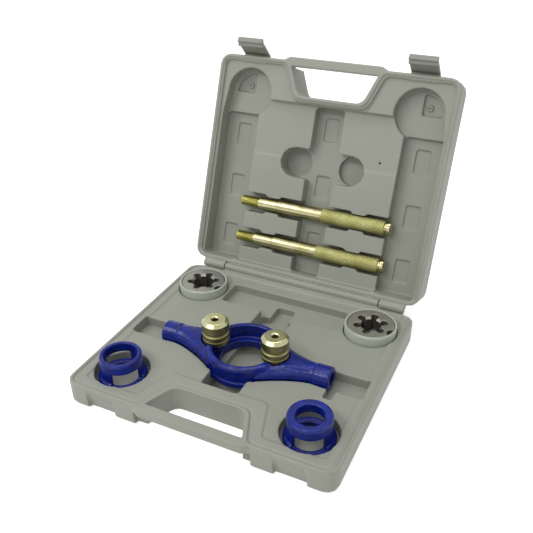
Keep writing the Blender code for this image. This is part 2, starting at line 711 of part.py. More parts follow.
def make_hinge_pin(surface):
    outline = circle(HINGE.y, HINGE.z, PIN_RADIUS, SMALL_STEPS)
    return finish(prism("hinge_pin", outline, -HINGE_HALF, HINGE_HALF, along="X"), surface)


# Die stock and its clamps, drawn about the middle of the ring at z = 0

def arm(side):
    """One arm: sections from the ring to the end collar, bridged into a closed body."""
    half_height = ARM_NECK_DIAMETER / 2
    end = STOCK_LENGTH / 2
    radius = ARM_END_DIAMETER / 2
    chamfer = ARM_CHAMFER
    sections = [(ARM_ROOT * ARM_START, ARM_ROOT_HALF, half_height)]
    sections += [(x, arm_half(x), half_height) for x in arm_stations(1)]
    sections += [(arm_neck() + chamfer / 2, radius - chamfer / 2, radius - chamfer / 2)]
    sections += [(arm_neck() + chamfer, radius, radius), (end - chamfer, radius, radius)]
    sections += [(end, radius - chamfer, radius - chamfer)]
    bm = bmesh.new()
    loops = []
    for x, wide, high in sections:
        ring = []
        for i in range(ARM_STEPS):
            angle = 2 * pi * i / ARM_STEPS
            ring.append(bm.verts.new((side * x, wide * cos(angle), high * sin(angle))))
        loops.append([bm.edges.new((ring[i - 1], ring[i])) for i in range(ARM_STEPS)])
    for near, far in zip(loops, loops[1:]):
        bmesh.ops.bridge_loops(bm, edges=near + far)
    bmesh.ops.holes_fill(bm, edges=loops[0] + loops[-1])
    return add_object("arm", bm)


def make_stock(surface):
    top = STOCK_RING_HEIGHT / 2
    radius = STOCK_RING_RADIUS
    waist = radius - RING_FLANGE / 2
    foot = radius + RING_FLANGE / 2
    core = STOCK_BORE / 4
    made = turned("die_stock", [
        (core, top), (radius - RING_ROUND, top), (radius - RING_EDGE, top - RING_EDGE),
        (radius, top - RING_ROUND), (waist, 0), (waist, RING_FOOT - top),
        (foot, RING_FOOT - RING_FLANGE - top), (foot, RING_EDGE - top), (foot - RING_EDGE, -top),
        (core, -top)])
    for side in SIDES.values():
        combine(made, arm(side), "UNION")
    bore = STOCK_BORE / 2
    hole = STOCK_HOLE / 2
    ledge = top - STOCK_BORE_DEPTH
    die_room = turned("bore", [
        (0, 2 * top), (bore + RING_EDGE, 2 * top), (bore + RING_EDGE, top), (bore, top - RING_EDGE),
        (bore, ledge), (hole, ledge), (hole, -2 * top), (0, -2 * top)], closed=False)
    for side in SIDES.values():
        seat = circle(side * CLAMP_PLACE, 0, CLAMP_DIAMETER / 2 + ARM_CLEARANCE)
        cut_prism(made, seat, top - CLAMP_SEAT, 2 * top)
        boss = circle(side * CLAMP_PLACE, 0, BOSS_RADIUS, SMALL_STEPS, shift=0.5)
        cut_prism(die_room, boss, ledge - STUD_GRIP, 3 * top)
    combine(made, die_room)
    for side in SIDES.values():
        stud = circle(side * CLAMP_PLACE, 0, STUD_DIAMETER / 2 + GAP, SMALL_STEPS)
        cut_prism(made, stud, ledge - STUD_GRIP - GAP, 2 * top)
        socket = circle(0, 0, THREAD_DIAMETER / 2 + GAP, SMALL_STEPS)
        end = side * STOCK_LENGTH / 2
        inner = end - side * SOCKET_DEPTH
        cut_prism(made, socket, min(inner, 2 * end), max(inner, 2 * end), along="X")
    return finish(made, surface)


def clamp_base():
    """Height of the seat of a clamp above the middle of the ring."""
    return STOCK_RING_HEIGHT / 2 - CLAMP_SEAT + GAP


def make_stud(side, surface):
    low = STOCK_RING_HEIGHT / 2 - STOCK_BORE_DEPTH - STUD_GRIP
    high = clamp_base() + COLLAR_HEIGHT + NUT_HEIGHT - STUD_SHORT
    radius = STUD_DIAMETER / 2
    made = turned("stud", [
        (0, high), (radius - STUD_EDGE, high), (radius, high - STUD_EDGE), (radius, low), (0, low)],
        SMALL_STEPS, closed=False)
    return finish(move(made, (side * CLAMP_PLACE, 0, 0)), surface)


def make_collar(side, surface):
    low = clamp_base()
    high = low + COLLAR_HEIGHT - GAP
    outer = CLAMP_DIAMETER / 2
    inner = STUD_DIAMETER / 2 + STUD_CLEARANCE
    neck = high - COLLAR_GROOVE
    middle = (low + neck) / 2
    half = COLLAR_GROOVE / 2
    made = turned("collar", [
        (inner, high), (outer - COLLAR_GROOVE, high), (outer - COLLAR_GROOVE, neck),
        (outer - CLAMP_EDGE, neck), (outer, neck - CLAMP_EDGE), (outer, middle + half),
        (outer - CLAMP_EDGE, middle), (outer, middle - half), (outer, low + CLAMP_EDGE),
        (outer - CLAMP_EDGE, low), (inner, low)], CLAMP_STEPS)
    return finish(move(made, (side * CLAMP_PLACE, 0, 0)), surface)


def make_nut(side, surface):
    """Round nut: bored for the stud from below, with a smaller countersunk hole in its top."""
    low = clamp_base() + COLLAR_HEIGHT
    high = low + NUT_HEIGHT
    outer = CLAMP_DIAMETER / 2
    inner = STUD_DIAMETER / 2 + STUD_CLEARANCE
    made = turned("nut", [
        (NUT_HOLE, high - NUT_HOLE_DEPTH), (NUT_HOLE, high - CLAMP_EDGE), (NUT_HOLE + CLAMP_EDGE, high),
        (outer - NUT_CHAMFER, high), (outer, high - NUT_CHAMFER), (outer, low + CLAMP_EDGE),
        (outer - CLAMP_EDGE, low), (inner, low), (inner, high - NUT_HOLE_DEPTH)], CLAMP_STEPS)
    return finish(move(made, (side * CLAMP_PLACE, 0, 0)), surface)


# Handles, dies and guides

def rod_length():
    return THREAD_LENGTH + SHANK_LENGTH + BODY_LENGTH + GRIP_LENGTH + ROD_END_LENGTH


def make_rod(surface):
    """Handle along X about the origin: thread, shank, body, grip and a domed end past a neck."""
    shank = THREAD_LENGTH
    body = shank + SHANK_LENGTH
    grip = body + BODY_LENGTH
    neck = grip + GRIP_LENGTH
    end = rod_length()
    thread, slim, mid, wide = (d / 2 for d in (THREAD_DIAMETER, SHANK_DIAMETER, BODY_DIAMETER, GRIP_DIAMETER))
    dome = wide - ROD_EDGE
    waist = wide - ROD_NECK
    made = turned("rod", [
        (0, end), (wide * 0.55, end), (wide * 0.8, end - ROD_EDGE), (dome, end - ROD_NECK),
        (dome, neck + ROD_NECK), (waist, neck + 2 * ROD_EDGE), (waist, neck + ROD_EDGE),
        (wide, neck - ROD_EDGE), (wide, grip + ROD_EDGE), (mid, grip), (mid, body + ROD_EDGE), (slim, body),
        (slim, shank + ROD_EDGE), (thread, shank), (thread, THREAD_LEAD), (thread - THREAD_LEAD, 0),
        (0, 0)], ROD_STEPS, closed=False)
    move(made, turn=(pi / 2, "Y"))
    return finish(move(made, (-rod_length() / 2, 0, 0)), surface)


def cup_radius():
    return DIE_DIAMETER / 2 + GAP + CUP_WALL


def make_cup(surface):
    """Cup that a die is kept in, its underside at z = 0."""
    outer = cup_radius()
    inner = outer - CUP_WALL
    edge = CUP_EDGE
    made = turned("cup", [
        (inner, CUP_HEIGHT), (outer - edge, CUP_HEIGHT), (outer, CUP_HEIGHT - edge), (outer, edge),
        (outer - edge, 0), (inner - CUP_LIP, 0), (inner - CUP_LIP, CUP_FLOOR), (inner, CUP_FLOOR)])
    return finish(made, surface)


def make_die(opening, surface):
    """Round die on the floor of its cup, cut through by the thread opening and the chip flutes round it."""
    low = CUP_FLOOR + GAP
    high = low + DIE_THICKNESS
    radius = DIE_DIAMETER / 2
    edge = DIE_EDGE
    made = turned("die", [(0, high), (radius - edge, high), (radius, high - edge), (radius, low + edge),
                          (radius - edge, low), (0, low)], closed=False)
    bore = opening / 2
    lead = DIE_LEAD
    combine(made, turned("bore", [
        (0, high + lead), (bore + 2 * lead, high + lead), (bore, high - lead), (bore, low + lead),
        (bore + 2 * lead, low - lead), (0, low - lead)], DIE_STEPS, closed=False))
    for i in range(FLUTE_COUNT):
        angle = 2 * pi * (i + 0.5) / FLUTE_COUNT
        flute = prism("flute", circle(FLUTE_CIRCLE, 0, FLUTE_RADIUS, SMALL_STEPS), low - lead, high + lead)
        neck = rectangle(bore - lead, -FLUTE_NECK / 2, FLUTE_CIRCLE, FLUTE_NECK / 2)
        combine(flute, prism("neck", neck, low - 2 * lead, high + 2 * lead), "UNION")
        combine(made, move(flute, turn=(angle, "Z")))
    notch_angle = radians(NOTCH_ANGLE)
    notch = circle(radius * cos(notch_angle), radius * sin(notch_angle), NOTCH_RADIUS, SMALL_STEPS)
    cut_prism(made, notch, high - NOTCH_DEPTH, high + lead)
    return finish(made, surface)


def make_guide(bore, turn, surface):
    """Pipe guide, underside at z = 0: a bored cap on a thin skirt with two windows, above a wider foot."""
    outer = GUIDE_DIAMETER / 2
    foot = GUIDE_FLANGE_DIAMETER / 2
    top = GUIDE_HEIGHT
    edge = GUIDE_EDGE
    inner = bore / 2
    cavity = max(outer - GUIDE_WALL, inner)
    cap = top - GUIDE_CAP
    profile = [
        (inner + edge / 2, top), (outer - edge, top), (outer - edge * 0.3, top - edge * 0.3),
        (outer, top - edge), (outer, GUIDE_FLANGE + edge), (foot - edge / 2, GUIDE_FLANGE),
        (foot, GUIDE_FLANGE - edge / 2),
        (foot, edge / 2), (foot - edge / 2, 0), (cavity, 0), (cavity, cap - edge / 2), (inner, cap),
        (inner, top - edge / 2)]
    made = turned("guide", profile)
    half = radians(GUIDE_WINDOW) / 2
    for facing in (radians(turn), radians(turn) + pi):
        reach = 2 * outer
        window = [(0, 0), (reach * cos(facing - half), reach * sin(facing - half)),
                  (reach * cos(facing + half), reach * sin(facing + half))]
        cut_prism(made, window, GUIDE_FLANGE - WINDOW_LEDGE, cap - WINDOW_LEDGE)
    return finish(made, surface)


def main():
    for old in list(bpy.data.objects):
        bpy.data.objects.remove(old)

    plastic = {"roughness": 0.55}
    zinc = {"colour": "beb46e", "roughness": 0.28, "metallic": 1.0}
    paint = {"colour": "262696", "roughness": 0.25}

    make_base(material("base_plastic", "96988e", **plastic))
    lid_axis = axis_empty("lid_axis", HINGE)
    hang_on(make_lid(material("lid_plastic", "96988e", **plastic)), lid_axis, HINGE)
    make_hinge_pin(material("hinge_steel", "b0b0ac", 0.3, 1.0))

    for name, side in SIDES.items():
        pivot = Vector((side * LATCH_PLACE, from_front(LATCH_PIVOT_DEPTH), RIM + GAP + LATCH_PIVOT_RISE))
        latch_axis = axis_empty("latch_axis_" + name, pivot - HINGE, lid_axis)
        latch_axis.rotation_euler = (-radians(LATCH_SWING), 0, 0)
        latch = make_latch(side, material("latch_plastic_" + name, "8f9188", **plastic))
        latch.name = "latch_" + name
        hang_on(latch, latch_axis, pivot)
        pin = make_latch_pin(side, material("latch_steel_" + name, "b0b0ac", 0.3, 1.0))
        pin.name = "latch_pin_" + name
        hang_on(pin, lid_axis, HINGE)

    middle = Vector((0, from_front(STOCK_PLACE), RIM - STOCK_DROP))
    stock = make_stock(material("stock_paint", **paint))
    stock.location = middle
    for name, side in SIDES.items():
        for make, piece in ((make_stud, "stud"), (make_collar, "collar"), (make_nut, "nut")):
            made = make(side, material("clamp_%s_zinc_%s" % (piece, name), **zinc))
            made.name = "clamp_%s_%s" % (piece, name)
            made.location = middle

    for name, place in ROD_PLACES.items():
        rod = make_rod(material(name + "_zinc", **zinc))
        rod.name = name
        hang_on(rod, lid_axis, HINGE)
        rod.location += Vector((ROD_SHIFT, BACK - place, RIM + GAP + ROD_DEPTH))

    for name, side in SIDES.items():
        cup = make_cup(material("cup_plastic_" + name, "a2a79a", 0.5))
        cup.name = "die_cup_" + name
        cup.location = (side * DIE_X, DIE_Y, RIM + CUP_TOP - CUP_HEIGHT)
        die = make_die(DIE_OPENINGS[name], material("die_steel_" + name, "8c8c84", 0.35, 1.0))
        die.name = "die_" + name
        die.location = cup.location
        guide = make_guide(GUIDE_BORES[name], GUIDE_TURNS[name], material("guide_paint_" + name, **paint))
        guide.name = "pipe_guide_" + name
        guide.location = (side * GUIDE_X, from_front(GUIDE_PLACE[1]), RIM + GUIDE_TOP - GUIDE_HEIGHT)

    lid_axis.rotation_euler = (-radians(LID_ANGLE), 0, 0)
    bpy.context.view_layer.update()


main()
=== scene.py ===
import json
from math import atan2, cos, floor, hypot, pi, radians, sin
import bpy
import bmesh
from mathutils import Matrix, Vector


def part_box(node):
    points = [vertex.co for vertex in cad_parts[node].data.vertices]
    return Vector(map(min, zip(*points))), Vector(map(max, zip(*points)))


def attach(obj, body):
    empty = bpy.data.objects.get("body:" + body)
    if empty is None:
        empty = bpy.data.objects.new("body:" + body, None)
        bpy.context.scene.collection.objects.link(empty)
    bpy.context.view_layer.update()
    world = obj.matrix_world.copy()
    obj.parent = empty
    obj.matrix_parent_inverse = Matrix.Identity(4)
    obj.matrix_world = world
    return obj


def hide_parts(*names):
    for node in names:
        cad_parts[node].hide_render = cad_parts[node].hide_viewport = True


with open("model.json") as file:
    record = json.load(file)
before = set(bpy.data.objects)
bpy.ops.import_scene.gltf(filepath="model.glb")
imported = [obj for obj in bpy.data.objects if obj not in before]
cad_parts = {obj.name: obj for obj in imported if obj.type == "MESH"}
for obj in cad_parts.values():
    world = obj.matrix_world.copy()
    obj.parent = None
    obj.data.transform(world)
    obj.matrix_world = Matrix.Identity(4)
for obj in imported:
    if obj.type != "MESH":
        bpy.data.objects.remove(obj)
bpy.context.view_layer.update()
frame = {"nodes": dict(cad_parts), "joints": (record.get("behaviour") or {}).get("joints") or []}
nodes = frame["nodes"]
joints = {joint["name"]: joint for joint in frame["joints"]}
mm = 0.001
sides = ("left", "right")
print("frame loaded:", len(nodes), "solids")


# Small helpers

def linear(hexColour):
    channels = [int(hexColour[i:i + 2], 16) / 255 for i in (1, 3, 5)]
    return tuple(c / 12.92 if c < 0.04045 else ((c + 0.055) / 1.055) ** 2.4
                 for c in channels) + (1.0,)


def addNode(tree, kind, values=None, links=None, **settings):
    node = tree.nodes.new(kind)
    for key, value in settings.items():
        setattr(node, key, value)
    for socket, value in (values or {}).items():
        node.inputs[socket].default_value = value
    for socket, source in (links or {}).items():
        tree.links.new(source, node.inputs[socket])
    return node


waveTurn = 2 * pi / 20  # a Wave texture at scale 1 repeats after this many metres


def perMetre(sizeInMm):
    return 1000.0 / sizeInMm  # texture scale that gives features of this size


def newMaterial(name, shader):
    made = bpy.data.materials.new(name)
    made.use_nodes = True
    tree = made.node_tree
    principled = tree.nodes["Principled BSDF"]
    for socket, value in shader.items():
        principled.inputs[socket].default_value = value
    place = addNode(tree, "ShaderNodeTexCoord").outputs["Object"]
    return made, tree, principled, place


# A solid that is shown as it is
def coat(node, material):
    nodes[node].data.materials.clear()
    nodes[node].data.materials.append(material)


def boxOf(node):
    return [Vector(corner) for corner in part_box(node)]


# Middle of a box's underside
def footOf(low, high):
    return Vector(((low.x + high.x) / 2, (low.y + high.y) / 2, low.z))


# Edges bent by more than sharpAngle degrees stay sharp
def addPiece(name, bm, materials, body, replaced, sharpAngle=180):
    mesh = bpy.data.meshes.new(name)
    bm.to_mesh(mesh)
    bm.free()
    piece = bpy.data.objects.new(name, mesh)
    bpy.context.collection.objects.link(piece)
    for material in materials:
        mesh.materials.append(material)
    mesh.shade_smooth()
    mesh.set_sharp_from_angle(angle=radians(sharpAngle))
    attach(piece, body)
    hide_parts(*replaced)


# A mesh put through one modifier, which is applied at once
def throughModifier(bm, kind, kept=(), **settings):
    mesh = bpy.data.meshes.new("rough")
    bm.to_mesh(mesh)
    bm.free()
    rough = bpy.data.objects.new("rough", mesh)
    bpy.context.collection.objects.link(rough)
    modifier = rough.modifiers.new("shape", kind)
    if kept:  # points that the modifier takes last
        rough.vertex_groups.new(name="kept").add(kept, 1.0, "ADD")
        modifier.vertex_group = "kept"
        modifier.invert_vertex_group = True
    for key, value in settings.items():
        setattr(modifier, key, value)
    bpy.context.view_layer.update()
    depsgraph = bpy.context.evaluated_depsgraph_get()
    finished = bpy.data.meshes.new_from_object(rough.evaluated_get(depsgraph))
    bpy.data.objects.remove(rough)
    bpy.data.meshes.remove(mesh)
    bm = bmesh.new()
    bm.from_mesh(finished)
    bpy.data.meshes.remove(finished)
    return bm


def smoothVerts(bm, verts, factor):
    bmesh.ops.smooth_vert(bm, verts=verts, factor=factor,
                          use_axis_x=True, use_axis_y=True, use_axis_z=True)


relax = {"merge": 0.002 * mm, "inward": 0.5, "outward": -0.52, "mostTriangles": 180000}


# A cast or moulded piece: the solid, merged, rebuilt in small cells and relaxed until its edges
# are round. Points near a seam's line are then evened out in pairs of steps that keep its size.
def softened(node, cell, rounds, turn=Matrix.Identity(4), fillets=(), seam=None):
    bm = bmesh.new()
    bm.from_mesh(nodes[node].data)
    bmesh.ops.remove_doubles(bm, verts=bm.verts, dist=relax["merge"])
    bmesh.ops.transform(bm, matrix=turn, verts=bm.verts)  # square to the cells meanwhile
    for middle, size in fillets:
        place = Matrix.Translation(middle) @ Matrix.Diagonal((*size, 1))
        bmesh.ops.create_cube(bm, matrix=place)
    bm = throughModifier(bm, "REMESH", mode="VOXEL", voxel_size=cell, adaptivity=0.0)
    for _ in range(rounds):
        smoothVerts(bm, bm.verts, relax["inward"])
    lips = []
    if seam:
        _, midY, midZ = seam["middle"]
        lips = [vert for vert in bm.verts
                if hypot(vert.co.y - midY, vert.co.z - midZ) < seam["reach"]]
        for factor in [relax["inward"], relax["outward"]] * seam["rounds"]:
            smoothVerts(bm, lips, factor)
    triangles = 2 * len(bm.faces)
    if triangles > relax["mostTriangles"]:
        bm.verts.index_update()
        bm = throughModifier(bm, "DECIMATE", [vert.index for vert in lips],
                             ratio=relax["mostTriangles"] / triangles)
    bmesh.ops.transform(bm, matrix=turn.inverted(), verts=bm.verts)
    return bm


spinMerge = 0.001 * mm


# A turned piece: profile of (along, radius) points spun about an axis line
def turnedShape(profile, origin, axis, steps, closed=False):
    bm = bmesh.new()
    along = Vector(axis)
    out = Vector((1, 0, 0)) if along.z else Vector((0, 0, 1))
    verts = [bm.verts.new(Vector(origin) + along * a + out * r) for a, r in profile]
    edges = [bm.edges.new(pair) for pair in zip(verts, verts[1:])]
    if closed:
        edges.append(bm.edges.new((verts[-1], verts[0])))
    bmesh.ops.spin(bm, geom=verts + edges, cent=origin, axis=along, angle=2 * pi, steps=steps,
                   use_merge=True)
    bmesh.ops.remove_doubles(bm, verts=bm.verts, dist=spinMerge)
    bmesh.ops.recalc_face_normals(bm, faces=bm.faces)
    return bm


# Materials

def casePlastic(name, colour, shade):
    # blow-moulded polyethylene: matt, faintly mottled, with a fine grain from the mould
    made, tree, principled, place = newMaterial(
        name, {"Roughness": 0.52, "IOR": 1.5, "Specular IOR Level": 0.42})
    mottle = addNode(tree, "ShaderNodeTexNoise", {"Scale": perMetre(45), "Detail": 3.0},
                     {"Vector": place})
    tone = addNode(tree, "ShaderNodeMix", {"A": linear(colour), "B": linear(shade)},
                   {"Factor": mottle.outputs["Fac"]}, data_type="RGBA")
    tree.links.new(tone.outputs["Result"], principled.inputs["Base Color"])
    grainShare = 0.12  # height of the grain beside the slow waves of the wall
    grain = addNode(tree, "ShaderNodeTexNoise", {"Scale": perMetre(0.9), "Detail": 2.0},
                    {"Vector": place})
    wave = addNode(tree, "ShaderNodeTexNoise", {"Scale": perMetre(18), "Detail": 1.0},
                   {"Vector": place})
    fine = addNode(tree, "ShaderNodeMath", {1: grainShare}, {0: grain.outputs["Fac"]},
                   operation="MULTIPLY")
    total = addNode(tree, "ShaderNodeMath", {}, {0: fine.outputs[0], 1: wave.outputs["Fac"]},
                    operation="ADD")
    bump = addNode(tree, "ShaderNodeBump", {"Strength": 0.25, "Distance": 0.6 * mm},
                   {"Height": total.outputs[0]})
    tree.links.new(bump.outputs["Normal"], principled.inputs["Normal"])
    return made


def blueEnamel():
    # gloss enamel over a sand casting: deep, clouded colour and a hard shine on a lumpy skin
    made, tree, principled, place = newMaterial(
        "blueEnamel", {"Roughness": 0.2, "IOR": 1.52, "Specular IOR Level": 0.3})
    cloud = addNode(tree, "ShaderNodeTexNoise", {"Scale": perMetre(7), "Detail": 4.0},
                    {"Vector": place})
    tone = addNode(tree, "ShaderNodeValToRGB", {}, {"Fac": cloud.outputs["Fac"]})
    tone.color_ramp.elements[0].position = 0.3
    tone.color_ramp.elements[0].color = linear("#06155e")
    tone.color_ramp.elements[1].position = 0.7
    tone.color_ramp.elements[1].color = linear("#0b228c")
    tree.links.new(tone.outputs["Color"], principled.inputs["Base Color"])
    pitShare = 0.35  # height of the pits beside the lumps
    lumps = addNode(tree, "ShaderNodeTexNoise", {"Scale": perMetre(4.2), "Detail": 2.0},
                    {"Vector": place})
    pits = addNode(tree, "ShaderNodeTexNoise", {"Scale": perMetre(1.1), "Detail": 2.0},
                   {"Vector": place})
    fine = addNode(tree, "ShaderNodeMath", {1: pitShare}, {0: pits.outputs["Fac"]},
                   operation="MULTIPLY")
    total = addNode(tree, "ShaderNodeMath", {}, {0: lumps.outputs["Fac"], 1: fine.outputs[0]},
                    operation="ADD")
    bump = addNode(tree, "ShaderNodeBump", {"Strength": 0.55, "Distance": 0.6 * mm},
                   {"Height": total.outputs[0]})
    tree.links.new(bump.outputs["Normal"], principled.inputs["Normal"])
    gloss = addNode(tree, "ShaderNodeMapRange", {"To Min": 0.1, "To Max": 0.28},
                    {"Value": pits.outputs["Fac"]})
    tree.links.new(gloss.outputs["Result"], principled.inputs["Roughness"])
    return made


def yellowZinc(name, gold, pale, tint, lines, roughness, relief=0.08):
    # turned steel with yellow-passivated zinc: straw to olive, drifting, with faint tool marks
    made, tree, principled, place = newMaterial(name, {"Metallic": 1.0, "Roughness": roughness})
    drift = addNode(tree, "ShaderNodeTexNoise", {"Scale": perMetre(11), "Detail": 3.0},
                    {"Vector": place})
    film = addNode(tree, "ShaderNodeValToRGB", {}, {"Fac": drift.outputs["Fac"]})
    film.color_ramp.elements[0].position = 0.32
    film.color_ramp.elements[0].color = linear(gold)
    film.color_ramp.elements[1].position = 0.68
    film.color_ramp.elements[1].color = linear(pale)
    middle = film.color_ramp.elements.new(0.5)
    middle.color = linear(tint)
    tree.links.new(film.outputs["Color"], principled.inputs["Base Color"])
    # tool marks about 5 mm apart, far coarser than the real ones, which are too fine to show
    marks = addNode(tree, "ShaderNodeTexWave",
                    {"Scale": perMetre(5.03) * waveTurn, "Distortion": 0.6, "Detail": 2.0},
                    {"Vector": place}, bands_direction=lines)
    bump = addNode(tree, "ShaderNodeBump", {"Strength": relief, "Distance": 0.1 * mm},
                   {"Height": marks.outputs["Fac"]})
    tree.links.new(bump.outputs["Normal"], principled.inputs["Normal"])
    polished, worn = roughness - 0.04, roughness + 0.08
    wear = addNode(tree, "ShaderNodeMapRange", {"To Min": polished, "To Max": worn},
                   {"Value": drift.outputs["Fac"]})
    tree.links.new(wear.outputs["Result"], principled.inputs["Roughness"])
    return made


def toolSteel(name, colour, shade, roughness, metallic, swell=0.0):
    # hardened tool steel: grey with random stains; the darker copies for the die's flutes and
    # lands are painted shade
    made, tree, principled, place = newMaterial(
        name, {"Metallic": metallic, "Roughness": roughness})
    stain = addNode(tree, "ShaderNodeTexNoise", {"Scale": perMetre(5), "Detail": 5.0},
                    {"Vector": place})
    tone = addNode(tree, "ShaderNodeMix", {"A": linear(colour), "B": linear(shade)},
                   {"Factor": stain.outputs["Fac"]}, data_type="RGBA")
    tree.links.new(tone.outputs["Result"], principled.inputs["Base Color"])
    scratch = addNode(tree, "ShaderNodeTexNoise", {"Scale": perMetre(0.7), "Detail": 2.0},
                      {"Vector": place})
    bump = addNode(tree, "ShaderNodeBump", {"Strength": 0.15, "Distance": 0.2 * mm},
                   {"Height": scratch.outputs["Fac"]})
    if swell:  # length in mm of one slow wave up the piece
        ridges = addNode(tree, "ShaderNodeTexWave", {"Scale": perMetre(swell) * waveTurn},
                         {"Vector": place}, bands_direction="Z")
        bump = addNode(tree, "ShaderNodeBump", {"Strength": 0.9, "Distance": 0.6 * mm},
                       {"Height": ridges.outputs["Fac"], "Normal": bump.outputs["Normal"]})
    tree.links.new(bump.outputs["Normal"], principled.inputs["Normal"])
    return made


caseSkin = casePlastic("casePlastic", "#999b90", "#8d8f84")
# a darker tone than the case: partly the latch's own plastic, partly painted shade on the latch
# body
latchShadedSkin = casePlastic("latchPlasticShaded", "#8d8f85", "#82847a")
cupSkin = casePlastic("cupPlastic", "#b0b6a9", "#a5ab9e")
enamel = blueEnamel()
rodZinc = yellowZinc("rodZinc", "#a29e6c", "#c0bc92", "#b8ae88", "X", 0.2, relief=0.02)
threadZinc = yellowZinc("threadZinc", "#a5a052", "#c2be78", "#b3ae64", "X", 0.3)
gripZinc = yellowZinc("gripZinc", "#98955e", "#b0ad7a", "#a4a16a", "X", 0.44)
knobZinc = yellowZinc("knobZinc", "#aeac80", "#c4c2a0", "#b9b78f", "Z", 0.22, relief=0.02)
# darker copies of the knob zinc: painted shade on the nut's sides and the collar, and a deeper
# painted shade in the nut's hole
shadedZinc = yellowZinc("shadedZinc", "#7d784e", "#9a956c", "#8b865c", "Z", 0.38)
holeShadeZinc = yellowZinc("holeShadeZinc", "#5d5430", "#776d44", "#6a613a", "Z", 0.5)
dieFace = toolSteel("dieFaceSteel", "#a3a39a", "#85857c", 0.42, 0.75)
# darker copies of the die steel for the flute walls and the thread lands: painted shade in the
# die's hole
fluteShadeSteel = toolSteel("shadedFluteSteel", "#78736a", "#524d45", 0.42, 0.4)
landShadeSteel = toolSteel("shadedLandSteel", "#5c5850", "#423e37", 0.5, 0.6, swell=11.31)
pinSteel = toolSteel("pinSteel", "#b4b4ae", "#9b9b95", 0.3, 1.0)
print("materials made")


# Case: the lid is rebuilt as it lies when shut
case = {"cell": 0.6 * mm, "rounds": 3}
hinge = joints["lid_hinge"]
hingeSeam = {"middle": hinge["pos_m"], "reach": 5.5 * mm, "rounds": 6}
hingePlace = Matrix.Translation(hinge["pos_m"])
shutTurn = Matrix.Rotation(radians(hinge["range_deg"][0]), 4, Vector(hinge["axis"]))
shutLid = hingePlace @ shutTurn @ hingePlace.inverted()
# a strip below each latch's pivot closes the slit between the latch's bay and the lining
strip = {"place": Vector((0, 3.2, -3.9)) * mm, "size": Vector((26.4, 1.3, 2.4)) * mm}
pivots = [Vector(joints["latch_%s_swing" % side]["pos_m"]) for side in sides]
strips = [(shutLid @ pivot + strip["place"], strip["size"]) for pivot in pivots]
bm = softened("case_base", seam=hingeSeam, **case)
addPiece("caseBase", bm, [caseSkin], "base", ["case_base"])
bm = softened("case_lid", turn=shutLid, fillets=strips, seam=hingeSeam, **case)
addPiece("caseLid", bm, [caseSkin], "lid", ["case_lid"])
print("case halves made")

# Latches and pins
latch = {"cell": 0.35 * mm, "rounds": 3}
for side in sides:
    node = "latch_" + side
    bm = softened(node, **latch)
    addPiece("latch" + side.title(), bm, [latchShadedSkin], node, [node])
    coat("latch_pin_" + side, pinSteel)
coat("hinge_pin", pinSteel)
print("latches made")

# Blue castings
casting = {"cell": 0.45 * mm, "rounds": 3}
bm = softened("die_stock", **casting)
addPiece("dieStock", bm, [enamel], "stock", ["die_stock"])
for side in sides:
    node = "pipe_guide_" + side
    bm = softened(node, **casting)
    addPiece("pipeGuide" + side.title(), bm, [enamel], node, [node])
print("castings made")


# Handles: spun about their own axis, then thread and knurl are pressed into the fine rings
handle = {
    "threadLength": 20 * mm, "threadRadius": 5.0 * mm, "threadPitch": 1.5 * mm,
    "threadDepth": 0.8 * mm, "threadRing": 0.19 * mm, "tipLength": 1.2 * mm,
    "tipInset": 1.3 * mm, "reliefLength": 1.6 * mm, "reliefFlank": 0.4 * mm,
    "reliefDepth": 0.9 * mm, "step": 0.2 * mm,
    "shankLength": 20 * mm, "shankRadius": 6.0 * mm, "shoulder": 0.5 * mm,
    "bodyLength": 46 * mm, "bodyRadius": 6.75 * mm, "taper": 0.8 * mm,
    "gripLength": 62 * mm, "gripRadius": 7.25 * mm, "gripLead": 0.5 * mm,
    "gripRing": 0.36 * mm, "knurlPitch": 2.6 * mm, "knurlDepth": 0.5 * mm,
    "neckStart": 0.4 * mm, "neckEnd": 1.4 * mm, "neckDepth": 1.5 * mm,
    "endStart": 2.0 * mm, "endInset": 0.7 * mm, "domeLength": 1.8 * mm, "domeFlat": 0.45,
    "domeAngles": (0.35, 0.75, 1.15, pi / 2), "margin": 0.1 * mm, "sharpAngle": 25,
    "steps": 120}


def ringPlaces(start, end, step):
    count = max(1, round((end - start) / step))
    return [start + (end - start) * i / count for i in range(count + 1)]


